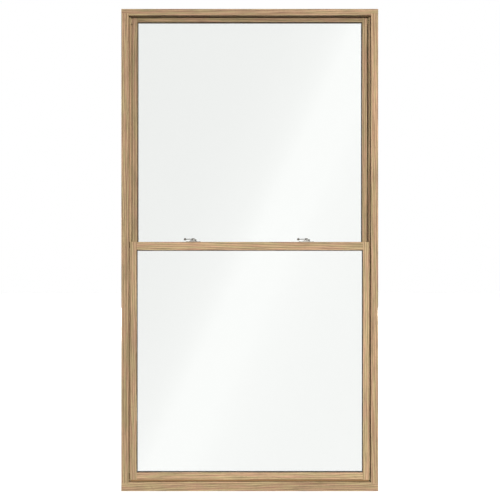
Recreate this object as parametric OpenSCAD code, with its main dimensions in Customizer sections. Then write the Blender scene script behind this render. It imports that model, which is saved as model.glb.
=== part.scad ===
// Double-hung sash window in clear-finished oak: a frame, two sliding sashes and two sash locks.
// X runs along the width, Y from the room to the outdoors, Z up; the origin is at the bottom centre.

/* [Frame] */
// Overall width of the frame
frame_w = 1067; // [700:1:1400]
// Overall height of the frame
frame_h = 2003; // [1500:1:2500]
// Depth of the frame from the room face to the outdoor face
frame_depth = 116; // [112:1:170]
// Thickness of the side jamb boards
jamb_t = 20.3; // [18:0.1:30]
// Thickness of the head board
head_t = 19; // [16:0.5:30]
// Thickness of the sill at the room side
sill_t = 32; // [26:0.5:50]
// Drop of the sill's outdoor edge
sill_fall = 9; // [4:0.5:14]
// Thickness of the track boards that line the jambs
track_t = 10.2; // [9.5:0.1:16]
// Thickness of the strip under the head, over the inner track
filler_t = 8; // [5:0.5:14]
// Height of the stop strip on the sill
sill_stop_t = 7; // [4:0.5:12]
// Rounding of the boards' long edges
board_ease = 1.4; // [0.4:0.1:2]
// Rounding of the edges where two boards meet side by side
seam_ease = 0.6; // [0.2:0.1:1]

/* [Sashes] */
// Thickness of each sash
sash_t = 35; // [33:0.5:45]
// Face width of the stiles
stile_w = 27.5; // [23:0.5:60]
// Face height of the upper sash's top rail
top_rail_h = 26.5; // [25:0.5:70]
// Face height of both check rails
check_rail_h = 34.8; // [30:0.2:60]
// Face height of the lower sash's bottom rail
bottom_rail_h = 31; // [26:0.2:90]
// Height of the top of the check rails above the middle of the opening
meeting_rise = 3.6; // [-60:0.2:60]
// Setback of the lower sash behind the room face of the frame
sash_setback = 4; // [2:0.5:10]
// Gap between a sash and the track boards at each side
side_gap = 5.5; // [4:0.1:7]
// Gap under the lower sash
bottom_gap = 7.5; // [5:0.1:10]
// Gap over the upper sash
top_gap = 2; // [1.5:0.1:4]
// Rounding of the sashes' outer edges
sash_ease = 2.4; // [0.6:0.1:2.8]
// Rounding of the sashes' edges at the glass
sight_ease = 1.2; // [0.4:0.1:2]
// Thickness of the tenons on the rails
tenon_t = 10; // [8:0.5:12]
// Length of the tenons on the rails
tenon_l = 8; // [6:0.5:9]
// How far the lip of the upper check rail stands up past its glass opening
lip_rise = 2.6; // [1:0.1:4]
// Gap between the sloping faces where the check rails meet
meeting_gap = 1.2; // [0.8:0.1:2]

/* [Glazing] */
// Thickness of wood in front of the glass
lip_t = 9; // [7:0.5:12]
// Width of the recess that holds the glass
rebate_w = 12; // [11:0.5:14]
// Thickness of each pane
pane_t = 3; // [3:0.5:4]
// Space between the two panes
cavity_t = 10; // [8:0.5:12]
// Thickness of the glazing tape
tape_t = 1.5; // [1:0.1:2]
// Gap between the edge of the glass and the wood
glass_gap = 2.5; // [2:0.1:3]
// Width of the edge spacer with its sealant
spacer_w = 12; // [11:0.5:14]
// Length of the setting blocks under the glass
block_l = 100; // [50:5:150]

/* [Beads and stops] */
// Thickness of the parting beads
bead_t = 11.5; // [9:0.5:14]
// Gap between a sash face and a parting bead or stop
bead_gap = 1.5; // [1:0.1:2]
// Width of the upper sash that each parting bead covers
bead_lap = 1.5; // [0:0.5:5]
// Width of the step along the upper stiles' outer edges
step_w = 7; // [4:0.5:9]
// Depth of the step along the upper stiles' outer edges
step_d = 10; // [2:0.5:10]
// Thickness of the flange behind the step, where it deepens between the guides
flange_t = 8; // [5:0.5:12]
// Thickness of the outdoor blind stops
stop_t = 10; // [8:0.5:12]
// Width of sash that the blind stops cover
stop_lap = 4; // [2:0.5:8]
// Diameter of the fixing holes in the jambs
fixing_d = 6; // [4:0.5:8]
// Distance of the fixing holes from the ends of the frame
fixing_end = 300; // [200:10:500]

/* [Balances and guides] */
// How much less than its own height the lower sash travels
travel_short = 119; // [110:1:400]
// Width of the channels in the track boards
channel_w = 12; // [11:0.5:14]
// Depth of the channels in the track boards
channel_d = 7.5; // [7:0.1:8.5]
// Clearance of the shoes and guides in the channels
guide_fit = 0.7; // [0.4:0.1:1]
// Height of the balance shoes and the guide blocks
shoe_h = 24; // [20:1:30]
// Height of the coil housings
coil_h = 38; // [34:1:40]
// Depth of the coil housings from the room towards the outdoors
coil_w = 22; // [21:0.5:23]
// Outer diameter of the coiled spring
coil_d = 18; // [15:0.5:18.5]
// Width of the spring ribbon
ribbon_w = 5.5; // [4:0.5:6]
// Thickness of the spring ribbon
ribbon_t = 0.5; // [0.4:0.1:0.8]

/* [Locks] */
// Distance between the two locks
lock_spacing = 473; // [250:1:560]
// Length of the lock's base
lock_l = 63; // [56:1:76]
// Depth of the lock's base
lock_w = 18; // [16:0.5:20]
// Distance from the pivot to the back face of the lower sash
pivot_set = 3; // [1:0.5:5]
// Diameter of the pivot pin
pivot_d = 6; // [5:0.5:7]
// Radius that the cam's hook reaches
hook_r = 23; // [22:0.5:24]
// Length of the lever from the pivot to the middle of its knob
lever_l = 33.5; // [28:0.5:40]
// Diameter of the lever's knob
knob_d = 10.4; // [8:0.2:12]
// Length of the wood screws
screw_l = 20; // [14:1:24]
// Diameter of the wood screws
screw_d = 4; // [3:0.1:4.5]

/* [Hidden] */
$fn = 48;

// How far a cutting shape runs past the face that it cuts
cut = 1;
// Straight steps in one rounded corner
ease_steps = 4;
// Play left round tenons, screws and let-in pieces
joint_play = 0.1;

// Places across the depth
room_y = -frame_depth / 2;
lower_y = room_y + sash_setback;
bead_y = lower_y + sash_t + bead_gap;
upper_y = bead_y + bead_t + bead_gap;
stop_y = upper_y + sash_t + bead_gap;
track_depth = stop_y - room_y;
fixing_y = (stop_y + stop_t + frame_depth / 2) / 2;

// Places across the width
jamb_x = frame_w / 2 - jamb_t;
track_x = jamb_x - track_t;
sash_x = track_x - side_gap;
sash_w = 2 * sash_x;
bead_x = sash_x - bead_lap;
check_x = bead_x - bead_gap;
bead_tongue = 4;
stop_face_w = jamb_x - sash_x + stop_lap;

// Places up the height
head_z = frame_h - head_t;
filler_z = head_z - filler_t;
lower_z = sill_t + sill_stop_t + bottom_gap;
upper_top_z = head_z - top_gap;
check_top_z = (lower_z + upper_top_z + check_rail_h) / 2 + meeting_rise;
lower_h = check_top_z - lower_z;
travel = lower_h - travel_short;
upper_z = check_top_z - check_rail_h;
upper_h = upper_top_z - upper_z;
fixing_spaces = 3;

// Glazing layers, measured from a sash's room face
pane_y = lip_t + tape_t;
outer_pane_y = pane_y + pane_t + cavity_t;
outer_bead_y = outer_pane_y + pane_t;
outer_bead_edge_t = 2.5;
// The section of a glazing bead: full thickness at the wood, thin at its sight edge
bead_section = [[0, outer_bead_y], [rebate_w, outer_bead_y],
    [rebate_w, outer_bead_y + outer_bead_edge_t], [rebate_w / 2, sash_t], [0, sash_t]];

// Check rails: the lower one reaches back and the upper one reaches forward to meet it
lower_reach = 6.5;
meeting_slope = 2;
reach_h = check_rail_h - rebate_w;
sight_h = check_rail_h - lip_rise;
lower_back_y = lower_y + sash_t + lower_reach;
seal_drop = 3;
seal_slot_w = 2;
seal_slot_d = 3;

// Seals over the upper sash and under the lower sash
seal_w = sash_t / 2;
seal_clear = 0.45;

// Balances
housing_t = 12;
housing_back = 0.2;
housing_wall_x = 5;
coil_hub_d = 9;
coil_play = 0.3;
ribbon_inset = 1;
ribbon_y = channel_w / 2 - guide_fit - ribbon_inset;
roll_y = ribbon_y - coil_d / 2;
roll_z = coil_h - coil_w / 2;
roll_room = housing_t - housing_wall_x;
ribbon_slot = 3;
shoe_back = 1.3;
coil_room = 3.5;
lower_coil_z = lower_z + travel + shoe_h + coil_room;
upper_coil_z = upper_z + shoe_h + coil_room;

// Screws
screw_head_d = 2 * screw_d;
screw_head_t = 0.6 * screw_d;
screw_tip_d = 0.6;
// The guides' screws stop short of the tenons behind them
guide_screw_end = 0.6;
guide_screw_l = side_gap + channel_d - shoe_back + stile_w - rebate_w - tenon_l - guide_screw_end;
frame_screw_l = 70;
frame_screw_d = 5;
frame_screw_inset = 30;
drive_w = 1;
drive_l = 0.6;
drive_deep = 0.5;

// Locks, with places measured from the pivot and the top of the check rail
pivot_y = lower_y + sash_t - pivot_set;
base_ear_t = 2.2;
base_ear_l = 14;
base_boss_t = 8;
base_boss_r = 9;
base_corner_r = 7;
lock_play = 0.5;
hook_t = 4;
hook_clear = 0.9;
hook_low = base_ear_t + hook_clear;
arm_clear = 0.4;
arm_low = base_boss_t + arm_clear;
arm_t = 2.6;
hub_r = 7;
hub_top = 15.4;
lever_w = 5;
lever_root_w = 9;
hub_ease = 1.6;
knob_flat_angle = 72;
knob_steps = 9;
arm_lift = 0.3;
lever_low = 9.6;
lever_t = 3.6;
knob_z = 11.3;
pin_low = 0.6;
hook_half_angle = 17;
lever_turn = 160;
ear_screw_inset = 8.5;
ear_screw_x = lock_l / 2 - ear_screw_inset;
keeper_t = 2.2;
keeper_lip_t = 2.5;
keeper_lip_top = 6.8;
keeper_half_angle = 22;
keeper_l = 56;
keeper_inset = 0.4;
keeper_corner_r = 3;
keeper_screw_inset = 7;
keeper_screw_x = keeper_l / 2 - keeper_screw_inset;
keeper_screw_y = 5;
keeper_front = lower_back_y + meeting_gap + keeper_inset - pivot_y;
keeper_back = upper_y + lip_t - keeper_inset - pivot_y;
keeper_mid = keeper_front + keeper_screw_y;

function arc(cx, cy, r, start) =
    [for (i = [0:ease_steps]) [cx + r * cos(start + 90 * i / ease_steps),
                               cy + r * sin(start + 90 * i / ease_steps)]];

function corner(cx, cy, r, start) = r > 0 ? arc(cx, cy, r, start) : [[cx, cy]];

// A rectangle from the origin, with a radius for each corner, counter-clockwise from the origin
function eased(w, h, r) = concat(
    corner(r[0], r[0], r[0], 180), corner(w - r[1], r[1], r[1], 270),
    corner(w - r[2], h - r[2], r[2], 0), corner(r[3], h - r[3], r[3], 90));

function flipped(points) = [for (p = points) [p[1], p[0]]];

// Extrudes points of [y, z] along X
module along_x(length) {
    translate([-length / 2, 0, 0]) rotate([90, 0, 90]) linear_extrude(length) children();
}

// Draws its children again at the other side of the window
module both_sides() {
    children();
    mirror([1, 0, 0]) children();
}

/* ---- Frame ---- */

// Assembly screws stand at these places, in from the faces of the frame
module at_frame_screws() {
    for (x = [-1, 1], y = [room_y + frame_screw_inset, -room_y - frame_screw_inset])
        translate([x * (jamb_x + jamb_t / 2), y, 0]) children();
}

module frame_screw() {
    shank_l = frame_screw_l - screw_head_t;
    cylinder(d = 2 * frame_screw_d, h = screw_head_t);
    translate([0, 0, screw_head_t]) cylinder(d = frame_screw_d, h = shank_l);
}

module frame_screw_bore() {
    play_d = frame_screw_d + 2 * joint_play;
    translate([0, 0, -cut]) cylinder(d = 2 * (frame_screw_d + joint_play), h = cut + screw_head_t);
    cylinder(d = play_d, h = frame_screw_l + joint_play);
}

module head_screw_bores() {
    at_frame_screws() translate([0, 0, frame_h]) mirror([0, 0, 1]) frame_screw_bore();
}

module sill_screw_bores() {
    at_frame_screws() frame_screw_bore();
}

module frame_screws() {
    color("silver") {
        at_frame_screws() translate([0, 0, frame_h]) mirror([0, 0, 1]) frame_screw();
        at_frame_screws() frame_screw();
    }
}

module head_jamb() {
    r = board_ease;
    color("burlywood") difference() {
        translate([0, room_y, head_z]) along_x(frame_w)
            polygon(eased(frame_depth, head_t, [seam_ease, 0, r, r]));
        head_screw_bores();
    }
}

module sill() {
    r = board_ease;
    flat = track_depth / 2;
    color("burlywood") difference() {
        translate([0, room_y, 0]) along_x(frame_w) polygon(concat(
            corner(r, r, r, 180), [[frame_depth, 0], [frame_depth, sill_t - sill_fall],
            [flat, sill_t]], corner(seam_ease, sill_t - seam_ease, seam_ease, 90)));
        sill_screw_bores();
    }
}

module jamb_board() {
    r = board_ease;
    jamb_h = head_z - sill_t + sill_fall;
    color("burlywood") difference() {
        translate([-jamb_x - jamb_t, room_y, sill_t - sill_fall]) linear_extrude(jamb_h)
            polygon(eased(jamb_t, frame_depth, [r, seam_ease, 0, r]));
        jamb_sill_notch();
        head_screw_bores();
        sill_screw_bores();
        housing_pocket(lower_y, lower_coil_z);
        housing_pocket(upper_y, upper_coil_z);
        at_fixings() rotate([0, 90, 0]) cylinder(d = fixing_d, h = frame_w / 2);
    }
}

// The foot of each jamb follows the top of the sill
module jamb_sill_notch() {
    flat = track_depth / 2;
    translate([0, room_y, 0]) along_x(frame_w + 2 * cut) polygon([[-cut, -cut],
        [frame_depth + cut, -cut],
        [frame_depth + cut, sill_t - sill_fall * (frame_depth + cut - flat) / (frame_depth - flat)],
        [flat, sill_t], [-cut, sill_t]]);
}

module at_fixings() {
    step = (frame_h - 2 * fixing_end) / fixing_spaces;
    for (i = [0:fixing_spaces])
        translate([-frame_w / 2 - cut, fixing_y, fixing_end + i * step]) children();
}

module left_jamb() { jamb_board(); }

module right_jamb() { mirror([1, 0, 0]) jamb_board(); }

module head_filler() {
    filler_w = 2 * (track_x - joint_play);
    filler_depth = upper_y - bead_gap - room_y;
    r = board_ease;
    color("burlywood") translate([0, room_y, filler_z]) along_x(filler_w)
        polygon(eased(filler_depth, filler_t, [r, 0, 0, seam_ease]));
}

module sill_stop() {
    stop_w = 2 * (track_x - joint_play);
    stop_depth = sash_t + sash_setback - bead_gap;
    r = board_ease;
    color("burlywood") translate([0, room_y, sill_t]) along_x(stop_w)
        polygon(eased(stop_depth, sill_stop_t, [seam_ease, 0, r, r]));
}

// Runs a channel for the shoes of one sash, the whole height of its track board
module channel(sash_y) {
    translate([-track_x - channel_d, sash_y + sash_t / 2 - channel_w / 2, 0])
        cube([channel_d + cut, channel_w, frame_h]);
}

module housing_pocket(sash_y, z) {
    pocket_t = housing_t + housing_back + joint_play;
    pocket_y = sash_y + sash_t / 2 + roll_y - coil_w / 2 - joint_play;
    translate([-track_x - pocket_t, pocket_y, z - joint_play])
        cube([pocket_t + cut, coil_w + 2 * joint_play, coil_h + 2 * joint_play]);
}

module bead_groove() {
    translate([-track_x - bead_tongue, bead_y, 0])
        cube([bead_tongue + cut, bead_t, frame_h]);
}

module track_board() {
    r = board_ease;
    track_h = head_z - sill_t + sill_fall;
    color("burlywood") difference() {
        translate([-jamb_x, room_y, sill_t - sill_fall]) linear_extrude(track_h)
            polygon(eased(track_t, track_depth, [seam_ease, r, 0, 0]));
        jamb_sill_notch();
        channel(lower_y);
        channel(upper_y);
        bead_groove();
        housing_pocket(lower_y, lower_coil_z);
        housing_pocket(upper_y, upper_coil_z);
    }
}

module left_track() { track_board(); }

module right_track() { mirror([1, 0, 0]) track_board(); }

module parting_bead() {
    bead_w = bead_tongue + track_x - bead_x;
    r = board_ease;
    bottom = sill_t + joint_play;
    color("burlywood") translate([-track_x - bead_tongue, bead_y, bottom])
        linear_extrude(filler_z - bottom - joint_play) polygon(eased(bead_w, bead_t, [0, r, r, 0]));
}

module left_parting_bead() { parting_bead(); }

module right_parting_bead() { mirror([1, 0, 0]) parting_bead(); }

module side_blind_stop() {
    r = board_ease;
    top_z = head_z - stop_face_w;
    color("burlywood") difference() {
        translate([-jamb_x, stop_y, sill_t - sill_fall]) linear_extrude(top_z - sill_t + sill_fall)
            polygon(eased(stop_face_w, stop_t, [0, r, r, 0]));
        jamb_sill_notch();
    }
}

module left_blind_stop() { side_blind_stop(); }

module right_blind_stop() { mirror([1, 0, 0]) side_blind_stop(); }

module head_blind_stop() {
    r = board_ease;
    color("burlywood") translate([0, stop_y, head_z - stop_face_w]) along_x(2 * jamb_x)
        polygon(eased(stop_t, stop_face_w, [r, r, 0, 0]));
}

module head_weatherstrip() {
    seal_t = top_gap - seal_clear;
    r = seal_t / 2;
    color("dimgray") translate([0, upper_y + (sash_t - seal_w) / 2, head_z - seal_t])
        along_x(2 * sash_x) polygon(eased(seal_w, seal_t, [r, r, 0, 0]));
}

/* ---- Balances ---- */

// A housing lies in its pocket with its open side towards the sash
module coil_housing(sash_y, z) {
    x = -track_x - housing_back - housing_t;
    color("gainsboro") translate([x, sash_y + sash_t / 2, z]) difference() {
        translate([0, roll_y - coil_w / 2, 0]) cube([housing_t, coil_w, coil_h]);
        translate([housing_wall_x, roll_y, roll_z]) rotate([0, 90, 0]) difference() {
            cylinder(d = coil_d + 2 * coil_play, h = roll_room + cut);
            translate([0, 0, -cut]) cylinder(d = coil_hub_d, h = roll_room + 3 * cut);
        }
        translate([housing_wall_x, ribbon_y - ribbon_slot + coil_play, -cut])
            cube([roll_room + cut, ribbon_slot, roll_z + cut]);
    }
}

// The spring's roll sits in its housing and the ribbon runs down to the shoe
module balance_spring(sash_y, sash_z, z) {
    x = -track_x - housing_back - (roll_room + ribbon_w) / 2;
    low = sash_z + shoe_h + coil_play;
    color("slategray") translate([x, sash_y + sash_t / 2, 0]) {
        translate([0, roll_y, z + roll_z]) rotate([0, 90, 0]) difference() {
            cylinder(d = coil_d, h = ribbon_w);
            translate([0, 0, -cut]) cylinder(d = coil_hub_d + 2 * coil_play, h = ribbon_w + 2 * cut);
        }
        translate([0, ribbon_y - ribbon_t, low]) cube([ribbon_w, ribbon_t, z + roll_z - low]);
    }
}

module lower_coil_housings() { both_sides() coil_housing(lower_y, lower_coil_z); }

module upper_coil_housings() { both_sides() coil_housing(upper_y, upper_coil_z); }

module lower_balance_springs() { both_sides() balance_spring(lower_y, lower_z, lower_coil_z); }

module upper_balance_springs() { both_sides() balance_spring(upper_y, upper_z, upper_coil_z); }

/* ---- Sashes ---- */

// A side member, with its outer edge at the left, from its foot upwards
module stile_blank(h) {
    linear_extrude(h) polygon(concat(corner(sash_ease, sash_ease, sash_ease, 180),
        corner(stile_w - sight_ease, sight_ease, sight_ease, 270),
        [[stile_w, lip_t], [stile_w - rebate_w, lip_t], [stile_w - rebate_w, sash_t]],
        corner(board_ease, sash_t - board_ease, board_ease, 90)));
}

// One rail, with its outer edge at z = 0 and its glass edge above. Its back runs past its lip
// at both ends to fill the corners of the recess
module rail_blank(face_h, front_ease, back_ease) {
    lip_l = sash_w - 2 * stile_w;
    inner_ease = front_ease > 0 ? sight_ease : 0;
    along_x(lip_l) polygon(flipped(eased(face_h, lip_t, [front_ease, inner_ease, 0, 0])));
    translate([0, lip_t, 0]) along_x(lip_l + 2 * rebate_w)
        polygon(flipped(eased(face_h - rebate_w, sash_t - lip_t, [0, 0, 0, back_ease])));
    tenon(face_h, 0);
}

// The tenons of one rail, both ends at once; play widens them into mortises
module tenon(face_h, play) {
    tenon_h = face_h - rebate_w - 2 * sash_ease;
    tenon_x = sash_w - 2 * stile_w + 2 * rebate_w + 2 * (tenon_l + play);
    back_t = sash_t - lip_t;
    translate([0, lip_t + (back_t - tenon_t) / 2 - play, sash_ease - play])
        along_x(tenon_x) square([tenon_t + 2 * play, tenon_h + 2 * play]);
}

module sash_stile(h, top_h, bottom_h) {
    color("burlywood") difference() {
        translate([-sash_x, 0, 0]) stile_blank(h);
        tenon(bottom_h, joint_play);
        translate([0, 0, h]) mirror([0, 0, 1]) tenon(top_h, joint_play);
        guide_screw_bores(h);
    }
}

module at_guides(h) {
    for (z = [shoe_h / 2, h - shoe_h / 2])
        translate([-sash_x - side_gap - channel_d + shoe_back, sash_t / 2, z]) children();
}

module guide_screw_bores(h) {
    at_guides(h) rotate([0, 90, 0])
        cylinder(d = screw_d + 2 * joint_play, h = guide_screw_l + joint_play);
}

module at_lower() { translate([0, lower_y, lower_z]) children(); }

module at_upper() { translate([0, upper_y, upper_z]) children(); }

// Turns a blank drawn with its glass edge upwards so that it hangs from the top of a sash
module hung(h) { translate([0, 0, h]) mirror([0, 0, 1]) children(); }

module lower_stile() {
    sash_stile(lower_h, check_rail_h, bottom_rail_h);
}

// The upper stiles' outer edges are stepped back so that the parting beads stand clear of them.
// The step deepens between the guides, down to a flange that the blind stops cover
module upper_stile() {
    color("burlywood") difference() {
        sash_stile(upper_h, top_rail_h, sight_h);
        translate([-sash_x - cut, -cut, -cut])
            cube([step_w + cut, step_d + cut, upper_h + 2 * cut]);
        translate([-sash_x - cut, -cut, shoe_h + flange_t])
            cube([step_w + cut, sash_t - flange_t + cut, upper_h - 2 * (shoe_h + flange_t)]);
    }
}

module lower_left_stile() { at_lower() lower_stile(); }

module lower_right_stile() { at_lower() mirror([1, 0, 0]) lower_stile(); }

module upper_left_stile() { at_upper() upper_stile(); }

module upper_right_stile() { at_upper() mirror([1, 0, 0]) upper_stile(); }

module lower_bottom_rail() {
    color("burlywood") at_lower() rail_blank(bottom_rail_h, sash_ease, board_ease);
}

module upper_top_rail() {
    color("burlywood") at_upper() hung(upper_h) rail_blank(top_rail_h, sash_ease, board_ease);
}

module at_locks() {
    for (x = [-1, 1]) translate([x * lock_spacing / 2, pivot_y, check_top_z]) children();
}

module lower_check_rail() {
    color("burlywood") difference() {
        union() {
            at_lower() hung(lower_h) rail_blank(check_rail_h, sash_ease, 0);
            translate([0, lower_y + sash_t, check_top_z - reach_h]) along_x(2 * check_x) polygon([
                [0, 0], [lower_reach - meeting_slope, 0], [lower_reach, reach_h], [0, reach_h]]);
        }
        at_locks() lock_screw_bores();
        seal_groove();
    }
}

module upper_check_rail() {
    front = lower_back_y + meeting_gap - upper_y;
    color("burlywood") difference() {
        union() {
            at_upper() rail_blank(sight_h, 0, board_ease);
            at_upper() along_x(sash_w - 2 * stile_w) square([lip_t, check_rail_h]);
            translate([0, upper_y, upper_z]) along_x(2 * check_x) polygon([
                [0, 0], [0, check_rail_h], [front, check_rail_h],
                [front - meeting_slope, check_rail_h - reach_h], [front - meeting_slope, 0]]);
        }
        at_locks() keeper_screw_bores();
    }
}

module seal_groove() {
    translate([0, lower_back_y - meeting_slope - seal_slot_d, check_top_z - reach_h + seal_drop])
        along_x(2 * check_x + 2 * cut) square([seal_slot_d + 2 * meeting_slope, seal_slot_w]);
}

module check_rail_seal() {
    face = lower_back_y - meeting_slope + meeting_slope * seal_drop / reach_h;
    low = check_top_z - reach_h + seal_drop + joint_play;
    color("dimgray") translate([0, face - seal_slot_d / 2, low]) along_x(2 * (check_x - joint_play))
        square([seal_slot_d / 2 + meeting_gap / 2, seal_slot_w - 2 * joint_play]);
}

module bottom_seal() {
    seal_t = bottom_gap - seal_clear;
    r = seal_t / 3;
    color("dimgray") translate([0, lower_y + (sash_t - seal_w) / 2, lower_z - seal_t])
        along_x(sash_w - 2 * sash_ease) polygon(eased(seal_w, seal_t, [r, r, 0, 0]));
}

// A flat ring round the glass opening: outer size less the given insets
module glass_ring(h, top_h, bottom_h, outer, width, depth) {
    x = sash_w / 2 - stile_w + outer;
    low = bottom_h - outer;
    high = h - top_h + outer;
    translate([-x, 0, low]) difference() {
        cube([2 * x, depth, high - low]);
        translate([width, -cut, width])
            cube([2 * (x - width), depth + 2 * cut, high - low - 2 * width]);
    }
}

module pane(h, top_h, bottom_h) {
    reach = rebate_w - glass_gap;
    x = sash_w / 2 - stile_w + reach;
    translate([-x, 0, bottom_h - reach]) cube([2 * x, pane_t, h - top_h - bottom_h + 2 * reach]);
}

module inner_pane(h, top_h, bottom_h) {
    color("lightcyan") translate([0, pane_y, 0]) pane(h, top_h, bottom_h);
}

module outer_pane(h, top_h, bottom_h) {
    color("lightcyan") translate([0, outer_pane_y, 0]) pane(h, top_h, bottom_h);
}

module spacer(h, top_h, bottom_h) {
    color("slategray") translate([0, pane_y + pane_t, 0])
        glass_ring(h, top_h, bottom_h, rebate_w - glass_gap, spacer_w, cavity_t);
}

module glazing_tape(h, top_h, bottom_h) {
    color("dimgray") translate([0, lip_t, 0])
        glass_ring(h, top_h, bottom_h, rebate_w - glass_gap, rebate_w - glass_gap, tape_t);
}

module setting_blocks(bottom_h) {
    color("dimgray") for (x = [-1, 1])
        translate([x * sash_w / 4 - block_l / 2, pane_y, bottom_h - rebate_w])
            cube([block_l, outer_bead_y - pane_y, glass_gap]);
}

module side_bead(h, top_h, bottom_h) {
    color("burlywood") translate([-sash_x + stile_w - rebate_w, 0, bottom_h])
        linear_extrude(h - top_h - bottom_h) polygon(bead_section);
}

module cross_bead(edge_h) {
    bead_l = sash_w - 2 * stile_w + 2 * rebate_w;
    color("burlywood") translate([0, 0, edge_h - rebate_w]) along_x(bead_l)
        polygon(flipped(bead_section));
}

module lower_inner_pane() { at_lower() inner_pane(lower_h, check_rail_h, bottom_rail_h); }

module lower_outer_pane() { at_lower() outer_pane(lower_h, check_rail_h, bottom_rail_h); }

module lower_spacer() { at_lower() spacer(lower_h, check_rail_h, bottom_rail_h); }

module lower_glazing_tape() { at_lower() glazing_tape(lower_h, check_rail_h, bottom_rail_h); }

module lower_setting_blocks() { at_lower() setting_blocks(bottom_rail_h); }

module lower_left_bead() { at_lower() side_bead(lower_h, check_rail_h, bottom_rail_h); }

module lower_right_bead() { mirror([1, 0, 0]) lower_left_bead(); }

module lower_top_bead() { at_lower() hung(lower_h) cross_bead(check_rail_h); }

module lower_bottom_bead() { at_lower() cross_bead(bottom_rail_h); }

module upper_inner_pane() { at_upper() inner_pane(upper_h, top_rail_h, sight_h); }

module upper_outer_pane() { at_upper() outer_pane(upper_h, top_rail_h, sight_h); }

module upper_spacer() { at_upper() spacer(upper_h, top_rail_h, sight_h); }

module upper_glazing_tape() { at_upper() glazing_tape(upper_h, top_rail_h, sight_h); }

module upper_setting_blocks() { at_upper() setting_blocks(sight_h); }

module upper_left_bead() { at_upper() side_bead(upper_h, top_rail_h, sight_h); }

module upper_right_bead() { mirror([1, 0, 0]) upper_left_bead(); }

module upper_top_bead() { at_upper() hung(upper_h) cross_bead(top_rail_h); }

module upper_bottom_bead() { at_upper() cross_bead(sight_h); }

/* ---- Shoes, guides and screws ---- */

// A block screwed to a stile's edge, with its tongue in the channel
module guide_block() {
    w = channel_w - 2 * guide_fit;
    tongue = channel_d - shoe_back + side_gap;
    r = board_ease;
    difference() {
        translate([0, -w / 2, -shoe_h / 2]) rotate([0, 90, 0]) mirror([1, 0, 0])
            linear_extrude(tongue) polygon(eased(shoe_h, w, [r, r, r, r]));
        rotate([0, 90, 0]) wood_screw(2 * joint_play, cut);
    }
}

module wood_screw(play, above) {
    head_r = (screw_head_d + play) / 2;
    shank_r = (screw_d + play) / 2;
    rotate_extrude() polygon([[0, -above], [head_r, -above], [head_r, 0], [shank_r, screw_head_t],
        [shank_r, screw_l + play / 2], [0, screw_l + play / 2]]);
}

// A flat-head wood screw that points along +Z from its head
module driven_screw(length) {
    difference() {
        rotate_extrude() polygon([[0, 0], [screw_head_d / 2, 0], [screw_d / 2, screw_head_t],
            [screw_d / 2, length - screw_d], [screw_tip_d / 2, length], [0, length]]);
        for (a = [0, 90]) rotate([0, 0, a])
            translate([-drive_l * screw_head_d / 2, -drive_w / 2, -cut])
                cube([drive_l * screw_head_d, drive_w, cut + drive_deep * screw_d]);
    }
}

module at_shoe() {
    translate([-sash_x - side_gap - channel_d + shoe_back, sash_t / 2, shoe_h / 2]) children();
}

module at_top_guide(h) { translate([0, 0, h - shoe_h]) at_shoe() children(); }

module lower_shoes() { color("dimgray") both_sides() at_lower() at_shoe() guide_block(); }

module upper_shoes() { color("dimgray") both_sides() at_upper() at_shoe() guide_block(); }

module lower_guides() {
    color("dimgray") both_sides() at_lower() at_top_guide(lower_h) guide_block();
}

module upper_guides() {
    color("dimgray") both_sides() at_upper() at_top_guide(upper_h) guide_block();
}

module lower_screws() {
    color("silver") {
        both_sides() at_lower() at_guides(lower_h) rotate([0, 90, 0]) driven_screw(guide_screw_l);
        at_locks() for (x = [-1, 1])
            translate([x * ear_screw_x, 0, base_ear_t]) mirror([0, 0, 1]) driven_screw(screw_l);
    }
}

module upper_screws() {
    color("silver") {
        both_sides() at_upper() at_guides(upper_h) rotate([0, 90, 0]) driven_screw(guide_screw_l);
        at_locks() for (x = [-1, 1])
            translate([x * keeper_screw_x, keeper_mid, keeper_t]) mirror([0, 0, 1]) driven_screw(screw_l);
    }
}

/* ---- Locks ---- */

module lock_screw_bores() {
    for (x = [-1, 1]) translate([x * ear_screw_x, 0, -screw_l])
        cylinder(d = screw_d + 2 * joint_play, h = screw_l + cut);
    translate([0, 0, -cut]) cylinder(d = pivot_d + 2 * lock_play, h = 2 * cut);
}

module keeper_screw_bores() {
    for (x = [-1, 1]) translate([x * keeper_screw_x, keeper_mid, -screw_l])
        cylinder(d = screw_d + 2 * joint_play, h = screw_l + cut);
}

module lock_base() {
    slope_end = lock_l / 2 - base_ear_l;
    outline = [[-lock_l / 2, 0], [lock_l / 2, 0], [lock_l / 2, base_ear_t], [slope_end, base_ear_t],
        [base_boss_r, base_boss_t], [-base_boss_r, base_boss_t], [-slope_end, base_ear_t],
        [-lock_l / 2, base_ear_t]];
    r = base_corner_r;
    color("silver") difference() {
        intersection() {
            translate([0, lock_w / 2, 0]) rotate([90, 0, 0]) linear_extrude(lock_w) polygon(outline);
            translate([-lock_l / 2, -lock_w / 2, 0]) linear_extrude(base_boss_t)
                polygon(eased(lock_l, lock_w, [r, r, r, r]));
        }
        translate([0, 0, -cut]) cylinder(d = pivot_d + joint_play, h = base_boss_t + 2 * cut);
        for (x = [-1, 1]) translate([x * ear_screw_x, 0, base_ear_t]) mirror([0, 0, 1])
            wood_screw(2 * joint_play, cut);
    }
}

// Keeps what its children have within an angle on both sides of +Y
module within(half_angle, reach, top) {
    side = reach * tan(half_angle);
    intersection() {
        children();
        translate([0, 0, -cut]) linear_extrude(top + 2 * cut)
            polygon([[0, 0], [side, reach], [-side, reach]]);
    }
}

// The cam's arm, with the hook that hangs from its rim
module lock_cam() {
    within(hook_half_angle, 2 * hook_r, hub_top) rotate_extrude() polygon([
        [0, arm_low + arm_lift], [hook_r - hook_t, arm_low + arm_lift], [hook_r - hook_t, hook_low],
        [hook_r, hook_low], [hook_r, arm_low + arm_t], [0, arm_low + arm_t]]);
}

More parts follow.
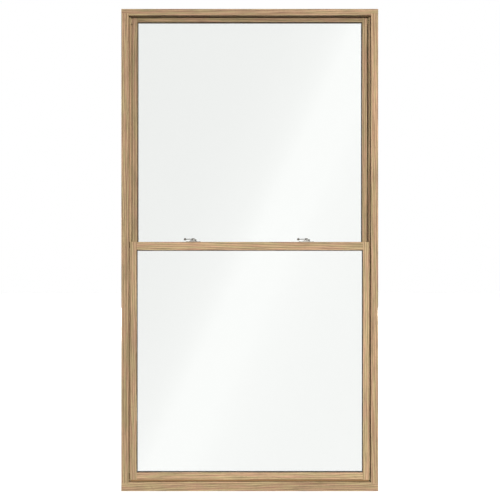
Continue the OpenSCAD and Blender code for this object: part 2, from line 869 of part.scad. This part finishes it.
// A turned knob: a ball with small flats above and below
module lever_knob() {
    r = knob_d / 2;
    sweep = 2 * knob_flat_angle;
    rim = [for (i = [0:knob_steps]) let (a = i * sweep / knob_steps - knob_flat_angle)
        [r * cos(a), r * sin(a)]];
    rotate_extrude() polygon(concat(rim, [[0, rim[knob_steps][1]], [0, rim[0][1]]]));
}

// The lever, its hub, its pin and the cam are one casting
module lock_lever() {
    pin_r = pivot_d / 2;
    bar_l = lever_l - knob_d / 4;
    color("silver") {
        rotate_extrude() polygon([[0, pin_low], [pin_r, pin_low], [pin_r, arm_low], [hub_r, arm_low],
            [hub_r, hub_top - hub_ease], [hub_r - hub_ease, hub_top], [0, hub_top]]);
        rotate([0, 0, -lever_turn]) lock_cam();
        translate([0, 0, lever_low]) linear_extrude(lever_t) polygon([[0, lever_root_w / 2],
            [-bar_l, lever_w / 2], [-bar_l, -lever_w / 2], [0, -lever_root_w / 2]]);
        translate([-lever_l, 0, knob_z]) lever_knob();
    }
}

module lock_keeper() {
    r = keeper_corner_r;
    w = keeper_back - keeper_front;
    lip_outer = hook_r - hook_t - lock_play;
    color("silver") difference() {
        union() {
            translate([-keeper_l / 2, keeper_front, 0]) linear_extrude(keeper_t)
                polygon(eased(keeper_l, w, [r, r, r, r]));
            within(keeper_half_angle, 2 * hook_r, keeper_lip_top) difference() {
                translate([0, 0, keeper_t / 2])
                    cylinder(r = lip_outer, h = keeper_lip_top - keeper_t / 2);
                cylinder(r = lip_outer - keeper_lip_t, h = keeper_lip_top + cut);
            }
        }
        for (x = [-1, 1]) translate([x * keeper_screw_x, keeper_mid, keeper_t]) mirror([0, 0, 1])
            wood_screw(2 * joint_play, cut);
    }
}

module at_left_lock() { translate([-lock_spacing / 2, pivot_y, check_top_z]) children(); }

module at_right_lock() { translate([lock_spacing / 2, pivot_y, check_top_z]) children(); }

module left_lock_base() { at_left_lock() lock_base(); }

module right_lock_base() { at_right_lock() lock_base(); }

module left_lock_lever() { at_left_lock() lock_lever(); }

module right_lock_lever() { at_right_lock() lock_lever(); }

module left_lock_keeper() { at_left_lock() lock_keeper(); }

module right_lock_keeper() { at_right_lock() lock_keeper(); }

head_jamb();
left_jamb();
right_jamb();
sill();
head_filler();
sill_stop();
left_track();
right_track();
left_parting_bead();
right_parting_bead();
head_blind_stop();
left_blind_stop();
right_blind_stop();
frame_screws();
head_weatherstrip();
lower_coil_housings();
upper_coil_housings();
lower_balance_springs();
upper_balance_springs();
lower_left_stile();
lower_right_stile();
lower_check_rail();
lower_bottom_rail();
lower_inner_pane();
lower_outer_pane();
lower_spacer();
lower_glazing_tape();
lower_setting_blocks();
lower_left_bead();
lower_right_bead();
lower_top_bead();
lower_bottom_bead();
lower_shoes();
lower_guides();
lower_screws();
bottom_seal();
check_rail_seal();
left_lock_base();
right_lock_base();
left_lock_lever();
right_lock_lever();
upper_left_stile();
upper_right_stile();
upper_top_rail();
upper_check_rail();
upper_inner_pane();
upper_outer_pane();
upper_spacer();
upper_glazing_tape();
upper_setting_blocks();
upper_left_bead();
upper_right_bead();
upper_top_bead();
upper_bottom_bead();
upper_shoes();
upper_guides();
upper_screws();
left_lock_keeper();
right_lock_keeper();
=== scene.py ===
import math
import random

import bmesh
import bpy
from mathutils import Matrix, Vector


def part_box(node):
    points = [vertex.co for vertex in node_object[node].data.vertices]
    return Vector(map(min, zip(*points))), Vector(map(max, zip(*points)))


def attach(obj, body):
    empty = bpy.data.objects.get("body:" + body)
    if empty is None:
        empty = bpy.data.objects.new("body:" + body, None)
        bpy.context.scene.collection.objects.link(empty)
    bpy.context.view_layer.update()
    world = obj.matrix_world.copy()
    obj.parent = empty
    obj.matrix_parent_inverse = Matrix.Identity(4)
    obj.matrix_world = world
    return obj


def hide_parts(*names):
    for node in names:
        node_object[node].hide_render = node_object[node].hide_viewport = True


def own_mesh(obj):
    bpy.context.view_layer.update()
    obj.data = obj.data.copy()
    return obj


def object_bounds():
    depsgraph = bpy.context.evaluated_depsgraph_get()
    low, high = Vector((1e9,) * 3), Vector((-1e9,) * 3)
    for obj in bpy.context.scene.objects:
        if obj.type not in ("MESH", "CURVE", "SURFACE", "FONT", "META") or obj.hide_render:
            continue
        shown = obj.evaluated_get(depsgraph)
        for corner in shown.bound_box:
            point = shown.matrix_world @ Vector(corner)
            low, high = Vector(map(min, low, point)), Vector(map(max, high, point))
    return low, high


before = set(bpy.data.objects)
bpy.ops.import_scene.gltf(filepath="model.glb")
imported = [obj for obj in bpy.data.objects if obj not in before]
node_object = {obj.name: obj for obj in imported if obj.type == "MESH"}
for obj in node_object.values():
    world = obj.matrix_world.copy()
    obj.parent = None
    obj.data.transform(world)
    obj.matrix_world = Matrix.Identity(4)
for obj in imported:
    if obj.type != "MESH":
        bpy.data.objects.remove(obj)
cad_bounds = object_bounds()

# ---- Frame boards ----
# The head, jambs, sill, track boards, parting beads and stops are planed red oak, cut square and
# screwed or nailed together, then sprayed with a clear satin lacquer. Oak shows growth rings,
# fine dark pores that run with the grain and slow changes of tone from board to board.


def linear(hex_code):
    """An sRGB hex colour as the linear RGBA that shaders take."""
    channels = [int(hex_code[i:i + 2], 16) / 255 for i in (1, 3, 5)]
    curve = [c / 12.92 if c <= 0.04045 else ((c + 0.055) / 1.055) ** 2.4 for c in channels]
    return (*curve, 1.0)


def add(tree, kind, inputs=None, stops=None, **settings):
    """Adds a shader node with its settings, its links or values, and the stops of a ramp."""
    made = tree.nodes.new("ShaderNode" + kind)
    for name, value in settings.items():
        setattr(made, name, value)
    for name, value in (inputs or {}).items():
        if isinstance(value, bpy.types.NodeSocket):
            tree.links.new(value, made.inputs[name])
        else:
            made.inputs[name].default_value = value
    for spare in range(len(stops or ()) - 2):
        made.color_ramp.elements.new(0.5)
    for element, (place, value) in zip(made.color_ramp.elements if stops else (), stops or ()):
        element.position = place
        element.color = linear(value) if isinstance(value, str) else (value, value, value, 1)
    return made


def new_finish(name):
    """A material with its node tree and its surface shader."""
    material = bpy.data.materials.new(name)
    material.use_nodes = True
    tree = material.node_tree
    return material, tree, tree.nodes["Principled BSDF"]


def coat(piece, material):
    """Gives a piece one finish all over."""
    piece.data.materials.clear()
    piece.data.materials.append(material)


# Clear-lacquered red oak: tan early wood, brown late wood, and streaks from greenish to pink.
OAK_LIGHT = "#CBB38C"
OAK_MID = "#A48A66"
OAK_DARK = "#634A2E"
OAK_GREENISH = "#A39168"
OAK_PINKISH = "#B4896F"
STREAKED = 0.48  # how much of the streaks' colour covers that of the rings
RING_SPACING = 0.009  # real rings are 2 to 4 mm apart; drawn coarser, so that they show
WAVE_LENGTH = 0.314  # metres from wave to wave in a wave texture of scale 1
PORE_WIDTH = 0.0008  # real pores are 0.3 mm wide; drawn coarser, so that they show
PORE_DEPTH = 0.0002
FIBRE_WIDTH = 0.003
STREAK_WIDTH = 0.009
PATCH_WIDTH = 0.05
PITH_NEAR, PITH_FAR = 0.03, 0.09
GRAIN_TILT = 1.6
LOG_HALF = 2.0
BARE_PORE, SEALED = 0.65, 0.42  # roughness in a pore and on the film of lacquer


def lacquered_oak(name, along, seed, tone_and_shade=1.0):
    """Clear-lacquered oak with its grain along one axis. The seed picks the place in the log, and
    the last value scales how light the board is drawn: its own tone plus painted light and shade."""
    material, tree, shader = new_finish(name)
    pick = random.Random(seed)
    turn = (0, math.radians(-90), 0) if along == "X" else (0, 0, 0)
    place = add(tree, "TexCoord")
    straight = add(tree, "Mapping", {"Vector": place.outputs["Object"], "Rotation": turn})
    tilt = [math.radians(pick.uniform(-GRAIN_TILT, GRAIN_TILT)) for _ in range(2)]
    pith = [pick.choice((-1, 1)) * pick.uniform(PITH_NEAR, PITH_FAR) for _ in range(2)]
    log = add(tree, "Mapping", {"Vector": straight.outputs[0], "Rotation": (*tilt, 0),
                                "Location": (*pith, pick.uniform(-LOG_HALF, LOG_HALF))})
    # Coordinates in which a pattern is that many times longer along the grain
    drawn_out = {times: add(tree, "Mapping", {"Vector": log.outputs[0],
                                              "Scale": (1, 1, 1 / times)}).outputs[0]
                 for times in (9, 14, 28)}

    rings = add(tree, "TexWave", {"Vector": drawn_out[9], "Scale": WAVE_LENGTH / RING_SPACING,
                                  "Distortion": 8, "Detail": 3, "Detail Scale": 0.4,
                                  "Detail Roughness": 0.6},
                wave_type="RINGS", rings_direction="Z", wave_profile="SAW")
    ring_colour = add(tree, "ValToRGB", {"Fac": rings.outputs["Fac"]},
                      stops=[(0, OAK_DARK), (0.25, OAK_LIGHT), (0.7, OAK_MID), (1, OAK_DARK)])
    streaks = add(tree, "TexNoise", {"Vector": drawn_out[14], "Scale": 1 / STREAK_WIDTH,
                                     "Detail": 3, "Roughness": 0.6})
    streak_colour = add(tree, "ValToRGB", {"Fac": streaks.outputs["Fac"]},
                        stops=[(0.42, OAK_GREENISH), (0.58, OAK_PINKISH)])
    colour = add(tree, "Mix", {0: STREAKED, 6: ring_colour.outputs[0],
                               7: streak_colour.outputs[0]}, data_type="RGBA").outputs[2]

    fibres = add(tree, "TexNoise", {"Vector": drawn_out[28], "Scale": 1 / FIBRE_WIDTH,
                                    "Detail": 2, "Roughness": 0.6})
    patches = add(tree, "TexNoise", {"Vector": drawn_out[9], "Scale": 1 / PATCH_WIDTH,
                                     "Detail": 2})
    pores = add(tree, "TexNoise", {"Vector": drawn_out[14], "Scale": 1 / PORE_WIDTH, "Detail": 1})
    shades = [add(tree, "ValToRGB", {"Fac": pattern.outputs["Fac"]}, stops=stops).outputs[0]
              for pattern, stops in ((fibres, [(0.28, 0.66), (0.5, 0.97), (0.75, 1.13)]),
                                     (patches, [(0.3, 0.87), (0.7, 1.1)]),
                                     (pores, [(0.60, 1.0), (0.70, 0.6)]))]
    for shade in shades:
        colour = add(tree, "Mix", {0: 1.0, 6: colour, 7: shade}, data_type="RGBA",
                     blend_type="MULTIPLY").outputs[2]
    # Painted light and shade: the board's tone value lightens or darkens all of its colour at
    # once.
    toned_and_shaded = add(tree, "HueSaturation", {"Value": tone_and_shade, "Color": colour})
    tree.links.new(toned_and_shaded.outputs[0], shader.inputs["Base Color"])

    pore_shade = shades[-1]
    rough = add(tree, "MapRange", {"Value": pore_shade, "From Min": 0.6, "From Max": 1.0,
                                   "To Min": BARE_PORE, "To Max": SEALED})
    tree.links.new(rough.outputs[0], shader.inputs["Roughness"])
    bump = add(tree, "Bump", {"Strength": 0.5, "Distance": PORE_DEPTH, "Height": pore_shade})
    tree.links.new(bump.outputs[0], shader.inputs["Normal"])
    shader.inputs["IOR"].default_value = 1.5
    shader.inputs["Specular IOR Level"].default_value = 0.35
    shader.inputs["Coat Weight"].default_value = 0.2
    shader.inputs["Coat Roughness"].default_value = 0.2
    return material


# Tones per board: besides each board's own tone, the head and the left-hand boards are darkened
# as painted shade, and the right-hand boards and the sill stop are lightened as painted light.
FRAME_BOARDS = {
    "head_jamb": ("X", 0.92), "head_filler": ("X", 0.92), "sill": ("X", 1.0),
    "sill_stop": ("X", 1.05), "head_blind_stop": ("X", 1.0),
    "left_jamb": ("Z", 0.9), "right_jamb": ("Z", 1.06), "left_track": ("Z", 0.9),
    "right_track": ("Z", 1.06), "left_parting_bead": ("Z", 1.0),
    "right_parting_bead": ("Z", 1.0), "left_blind_stop": ("Z", 1.0),
    "right_blind_stop": ("Z", 1.0),
}
for seed, (name, (along, tone_and_shade)) in enumerate(FRAME_BOARDS.items()):
    coat(node_object[name], lacquered_oak("oak_" + name, along, seed, tone_and_shade))

# ---- Sash members ----
# Each sash is four oak members with mortise and tenon corners: stiles run the full height and
# rails fit between them. Outer edges are rounded over so that the sash slides without catching.

SASH_SEEDS_FROM = 40
# Tones per member: besides each member's own tone, the recessed upper sash, most of all its left
# stile and top rail, is darkened as painted shade, and the lower sash's right stile and bottom
# rail are lightened as painted light.
SASH_MEMBERS = {
    "lower_left_stile": ("Z", 0.97), "lower_right_stile": ("Z", 1.2),
    "lower_check_rail": ("X", 1.04), "lower_bottom_rail": ("X", 1.18),
    "upper_left_stile": ("Z", 0.76), "upper_right_stile": ("Z", 0.94),
    "upper_top_rail": ("X", 0.82), "upper_check_rail": ("X", 1.0),
}
for seed, (name, (along, tone_and_shade)) in enumerate(SASH_MEMBERS.items(), SASH_SEEDS_FROM):
    coat(node_object[name], lacquered_oak("oak_" + name, along, seed, tone_and_shade))

# ---- Glazing ----
# Two panes of float glass, held apart by a dark warm-edge spacer and sealed round their edge.
# They sit on rubber blocks against a foam tape, and oak beads on the outdoor side hold them.

# Float glass: clear and flat, with a trace of grey where it is looked through.
glass, tree, shader = new_finish("float_glass")
shader.inputs["Base Color"].default_value = linear("#F9FAF9")
shader.inputs["Roughness"].default_value = 0.0
shader.inputs["IOR"].default_value = 1.52
shader.inputs["Transmission Weight"].default_value = 1.0
for name in ("lower_inner_pane", "lower_outer_pane", "upper_inner_pane", "upper_outer_pane"):
    coat(node_object[name], glass)


def speckled(name, colour, other, grain, roughness, bump_depth, **sockets):
    """A moulded or foamed finish: two close colours in a fine speckle, with a slight texture."""
    material, tree, shader = new_finish(name)
    place = add(tree, "TexCoord")
    speckle = add(tree, "TexNoise", {"Vector": place.outputs["Object"], "Scale": 1 / grain,
                                     "Detail": 3})
    tint = add(tree, "ValToRGB", {"Fac": speckle.outputs["Fac"]},
               stops=[(0.35, colour), (0.65, other)])
    tree.links.new(tint.outputs[0], shader.inputs["Base Color"])
    bump = add(tree, "Bump", {"Strength": 0.6, "Distance": bump_depth,
                              "Height": speckle.outputs["Fac"]})
    tree.links.new(bump.outputs[0], shader.inputs["Normal"])
    shader.inputs["Roughness"].default_value = roughness
    for socket, value in sockets.items():
        shader.inputs[socket].default_value = value
    return material


# The spacer is satin and brownish grey. The tape is matt foam, and the moulded blocks are a tan
# rubber with a soft, waxy look. In each the grain and its depth are in metres.
spacer_bar = speckled("warm_edge_spacer", "#6E6454", "#7A705F", 0.002, 0.55, 0.00005)
foam_tape = speckled("foam_tape", "#4A3B2A", "#554632", 0.001, 0.85, 0.0001)
rubber = speckled("moulded_rubber", "#8A6A47", "#94744F", 0.0015, 0.7, 0.00005)
BEAD_SEEDS_FROM = 65
for sash in ("lower", "upper"):
    coat(node_object[sash + "_spacer"], spacer_bar)
    coat(node_object[sash + "_glazing_tape"], foam_tape)
    coat(node_object[sash + "_setting_blocks"], rubber)
    for seed, (side, along) in enumerate((("left", "Z"), ("right", "Z"), ("top", "X"),
                                          ("bottom", "X")), BEAD_SEEDS_FROM):
        name = sash + "_" + side + "_bead"
        coat(node_object[name], lacquered_oak("oak_" + name, along, seed))

# ---- Weather seals ----
# Extruded tan rubber strips: one over the upper sash, one under the lower sash and one where
# the check rails meet.

for name in ("head_weatherstrip", "bottom_seal", "check_rail_seal"):
    coat(node_object[name], rubber)

# ---- Shoes, guides and balances ----
# Moulded nylon blocks run in the channels, and coil housings of the same nylon sit in pockets
# in the jambs with a flat steel spring in each.

# Nylon out of a satin mould: an even brown with a dull shine.
nylon = speckled("moulded_nylon", "#6A543A", "#725C42", 0.003, 0.45, 0.00003)
for name in ("lower_shoes", "lower_guides", "upper_shoes", "upper_guides",
             "lower_coil_housings", "upper_coil_housings"):
    coat(node_object[name], nylon)

# ---- Balance springs ----
# A constant-force spring is a flat ribbon of hardened steel, wound on itself in its housing. It
# uncoils as its sash goes down, and lies against the back of the channel next to the shoe.

# Cold-rolled steel: cool grey, with a smooth shine and hardly any grain.
spring_steel = speckled("rolled_spring_steel", "#8D8F92", "#9B9DA0", 0.004, 0.3, 0.00002,
                        Metallic=1.0)
RIBBON_T = 0.00035
RIBBON_W = 0.0055
RIBBON_STEPS = 12
HUB_R = 0.0048
COIL_R = 0.0089
COIL_PLAY = 0.0001
TURNS = 9
STEPS_IN_A_TURN = 40
SMOOTHED_UP_TO = 40


def ribbon_mesh(name, path, x_low):
    """A strip of steel with its width along X, whose middle follows points of (y, z)."""
    form = bmesh.new()
    rows = []
    x_high = x_low + RIBBON_W
    for i, (y, z) in enumerate(path):
        before, after = path[max(i - 1, 0)], path[min(i + 1, len(path) - 1)]
        run = Vector((after[0] - before[0], after[1] - before[1])).normalized()
        side = Vector((-run.y, run.x)) * RIBBON_T / 2
        rows.append([form.verts.new((x, y + sign * side.x, z + sign * side.y))
                     for x, sign in ((x_low, -1), (x_high, -1), (x_high, 1), (x_low, 1))])
    for near, far in zip(rows, rows[1:]):
        for i in range(4):
            j = (i + 1) % 4
            form.faces.new((near[i], near[j], far[j], far[i]))
    form.faces.new(rows[0][::-1])
    form.faces.new(rows[-1])
    bmesh.ops.recalc_face_normals(form, faces=form.faces)
    mesh = bpy.data.meshes.new(name)
    form.to_mesh(mesh)
    form.free()
    mesh.shade_smooth()
    mesh.set_sharp_from_angle(angle=math.radians(SMOOTHED_UP_TO))
    mesh.materials.append(spring_steel)
    made = bpy.data.objects.new(name, mesh)
    bpy.context.scene.collection.objects.link(made)
    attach(made, "frame")
    return made


for sash in ("lower", "upper"):
    node = sash + "_balance_springs"
    low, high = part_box(node)
    roll_y = low.y + (COIL_R + COIL_PLAY)
    roll_z = high.z - (COIL_R + COIL_PLAY)
    ribbon_y = high.y - RIBBON_T / 2
    spiral = []
    for step in range(TURNS * STEPS_IN_A_TURN + 1):
        done = step / (TURNS * STEPS_IN_A_TURN)
        angle = 2 * math.pi * TURNS * (1 - done)
        radius = HUB_R + (COIL_R - HUB_R - RIBBON_T) * done
        spiral.append((roll_y + radius * math.cos(angle), roll_z + radius * math.sin(angle)))
    drop = [(ribbon_y, low.z + (roll_z - low.z) * i / RIBBON_STEPS)
            for i in range(RIBBON_STEPS + 1)]
    for side, x_low in (("left", low.x), ("right", high.x - RIBBON_W)):
        ribbon_mesh(sash + "_" + side + "_spring_coil", spiral, x_low)
        ribbon = ribbon_mesh(sash + "_" + side + "_spring_ribbon", drop, x_low)
        if sash == "lower":
            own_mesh(ribbon)
    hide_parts(node)

# ---- Screws ----
# Zinc-plated wood screws hold the frame's corners, the shoes and the locks. Plating leaves a
# pale, slightly clouded shine.

zinc = speckled("zinc_plate", "#B4B5B2", "#C6C6C2", 0.002, 0.28, 0.00001, Metallic=1.0)
for name in ("frame_screws", "lower_screws", "upper_screws"):
    coat(node_object[name], zinc)

# ---- Locks ----
# Cast zinc cam locks, polished and nickel plated: a base screwed to the lower check rail, a
# lever that turns the cam, and a keeper on the upper check rail.

# Polished nickel: a warm grey mirror, very slightly waved by the polishing wheel.
nickel = speckled("polished_nickel", "#B0ADA7", "#BBB8B2", 0.006, 0.08, 0.00001, Metallic=1.0)
CAST_ROUNDING = 0.0005
ROUNDING_STEPS = 3
SHARPEST_LEFT = 25
WELD = 0.00001
FLAT_WITHIN = 2


def cast_copy(name, node, body):
    """A die casting in place of its CAD node, with its edges rounded by polishing."""
    form = bmesh.new()
    form.from_mesh(node_object[node].data)
    bmesh.ops.remove_doubles(form, verts=form.verts, dist=WELD)
    bmesh.ops.dissolve_limit(form, angle_limit=math.radians(FLAT_WITHIN), verts=form.verts,
                             edges=form.edges)
    mesh = bpy.data.meshes.new(name)
    form.to_mesh(mesh)
    form.free()
    mesh.materials.append(nickel)
    mesh.shade_smooth()
    made = bpy.data.objects.new(name, mesh)
    bpy.context.scene.collection.objects.link(made)
    rounding = made.modifiers.new("rounding", "BEVEL")
    rounding.width = CAST_ROUNDING
    rounding.segments = ROUNDING_STEPS
    rounding.limit_method = "ANGLE"
    rounding.angle_limit = math.radians(SHARPEST_LEFT)
    evened = made.modifiers.new("evened", "WEIGHTED_NORMAL")
    evened.keep_sharp = False
    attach(made, body)
    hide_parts(node)


for side in ("left", "right"):
    for part, body in (("base", "lower_sash"), ("lever", side + "_lever"),
                       ("keeper", "upper_sash")):
        cast_copy(side + "_cast_lock_" + part, side + "_lock_" + part, body)

# ---- Studio ----
# A pale floor and a white surround that only the camera and the glass see, lit by soft light
# that is stronger from the right and above, with a bright diagonal strip that the glass mirrors.

room_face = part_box("head_jamb")[0].y
middle = (cad_bounds[0][2] + cad_bounds[1][2]) / 2
SURROUND_R = 30.0
FLOOR_R = 0.99 * SURROUND_R


def staged(name, form, material, seen_by):
    """A piece of the studio that only some kinds of light ray can see."""
    mesh = bpy.data.meshes.new(name)
    form.to_mesh(mesh)
    form.free()
    mesh.materials.append(material)
    made = bpy.data.objects.new(name, mesh)
    bpy.context.scene.collection.objects.link(made)
    for kind in ("camera", "diffuse", "glossy", "transmission", "volume_scatter", "shadow"):
        setattr(made, "visible_" + kind, kind in seen_by)


# Both studio finishes glow evenly, so that they stay plain from every side.
white_card, tree, shader = new_finish("white_surround")
shader.inputs["Base Color"].default_value = (0, 0, 0, 1)
shader.inputs["Specular IOR Level"].default_value = 0
shader.inputs["Emission Color"].default_value = (1, 1, 1, 1)
place = add(tree, "TexCoord")
height = add(tree, "SeparateXYZ", {"Vector": place.outputs["Object"]})
fade = add(tree, "MapRange", {"Value": height.outputs["Z"], "From Min": -0.75 * SURROUND_R,
                              "From Max": -0.18 * SURROUND_R, "To Min": 0.8})
tree.links.new(fade.outputs[0], shader.inputs["Emission Strength"])
MIRRORED_CONE = -0.95  # the part behind the camera, which the panes would show as a pale haze
for name, mirrored, seen_by in (("surround", False, ("camera", "transmission")),
                                ("surround_mirrored_part", True, ("camera",))):
    ball = bmesh.new()
    bmesh.ops.create_uvsphere(ball, u_segments=48, v_segments=24, radius=SURROUND_R)
    others = [face for face in ball.faces
              if (face.calc_center_median().normalized().y < MIRRORED_CONE) != mirrored]
    bmesh.ops.delete(ball, geom=others, context="FACES")
    staged(name, ball, white_card, seen_by)

pale_floor, tree, shader = new_finish("pale_floor")
shader.inputs["Base Color"].default_value = linear("#E4E4E3")
shader.inputs["Roughness"].default_value = 0.9
shader.inputs["Specular IOR Level"].default_value = 0.0
shader.inputs["Emission Color"].default_value = (1, 1, 1, 1)
shader.inputs["Emission Strength"].default_value = 0.62
disc = bmesh.new()
bmesh.ops.create_circle(disc, cap_ends=True, segments=96, radius=FLOOR_R)
staged("floor", disc, pale_floor, ("camera",))

# The sky's light is its level across the strip, faded below the floor's edge, and weaker from
# the sides than from in front and behind.
STRIP_NORMAL = (0.904, 0.0, -0.428)
PEAK = 1.42
SIDE_LIGHT = 0.35
world = bpy.data.worlds.new("studio")
bpy.context.scene.world = world
world.use_nodes = True
tree = world.node_tree
sky = tree.nodes["Background"]
direction = add(tree, "TexCoord").outputs["Generated"]
across = add(tree, "VectorMath", {0: direction, 1: STRIP_NORMAL}, operation="DOT_PRODUCT")
spread = add(tree, "MapRange", {"Value": across.outputs["Value"], "From Min": -1, "From Max": 1})
levels = add(tree, "ValToRGB", {"Fac": spread.outputs[0]},
             stops=[(0.0, 0.3), (0.3, 0.42), (0.45, 0.46), (0.482, 0.57), (0.495, 0.77),
                    (0.5065, 1.19), (0.514, 0.95), (0.528, 0.82), (0.55, 0.76), (1.0, 0.8)])
levels.color_ramp.interpolation = "CARDINAL"
heading = add(tree, "SeparateXYZ", {"Vector": direction})
lift = add(tree, "MapRange", {"Value": heading.outputs["Z"], "From Min": -0.34, "From Max": -0.14,
                              "To Min": 0.02, "To Max": 1.0}, interpolation_type="SMOOTHSTEP")
facing = add(tree, "MapRange", {"Value": heading.outputs["Y"], "From Min": -1, "From Max": 1})
ahead = add(tree, "ValToRGB", {"Fac": facing.outputs[0]},
            stops=[(0.03, 1.0), (0.1, 0.85), (0.14, SIDE_LIGHT), (0.55, SIDE_LIGHT),
                   (0.75, 1.2)])
strength = levels.outputs[0]
for factor in (lift.outputs[0], ahead.outputs[0], PEAK):
    strength = add(tree, "Math", {0: strength, 1: factor}, operation="MULTIPLY").outputs[0]
tree.links.new(strength, sky.inputs["Strength"])
sky.inputs["Color"].default_value = (1, 1, 1, 1)

# The lamps stand far off, so that their light is even, and nothing mirrors them.
LAMP_SIZE = 1.4
LAMP_DISTANCE = 20.0
LAMP_RISE = math.radians(6.5)
for name, watts, degrees_right in (("key", 4000, 4.5), ("right_fill", 1100, 90),
                                   ("outdoor_fill", 2600, 180), ("left_fill", 1900, -90)):
    lamp = bpy.data.lights.new(name, "AREA")
    lamp.shape = "RECTANGLE"
    lamp.size, lamp.size_y = LAMP_SIZE, LAMP_SIZE
    lamp.energy = watts
    light = bpy.data.objects.new(name, lamp)
    turn = math.radians(degrees_right)
    out = Vector((math.sin(turn) * math.cos(LAMP_RISE), -math.cos(turn) * math.cos(LAMP_RISE),
                  math.sin(LAMP_RISE)))
    light.location = Vector((0, 0, middle)) + out * LAMP_DISTANCE
    light.rotation_euler = (-out).to_track_quat("-Z", "Y").to_euler()
    light.visible_camera = light.visible_glossy = light.visible_transmission = False
    bpy.context.scene.collection.objects.link(light)

VIEW_DISTANCE = 6.3
VIEW_HEIGHT = 2.0766
VIEW_RIGHT = 0.001
FILM = 36
camera_data = bpy.data.cameras.new("camera")
camera_data.sensor_width = FILM
camera_data.lens = FILM * VIEW_DISTANCE / VIEW_HEIGHT
camera_data.clip_end = 200
camera = bpy.data.objects.new("camera", camera_data)
bpy.context.scene.collection.objects.link(camera)
camera.location = (VIEW_RIGHT, room_face - VIEW_DISTANCE, middle)
camera.rotation_euler = (math.radians(90), 0, 0)
bpy.context.scene.camera = camera
bpy.context.scene.view_settings.view_transform = "Standard"
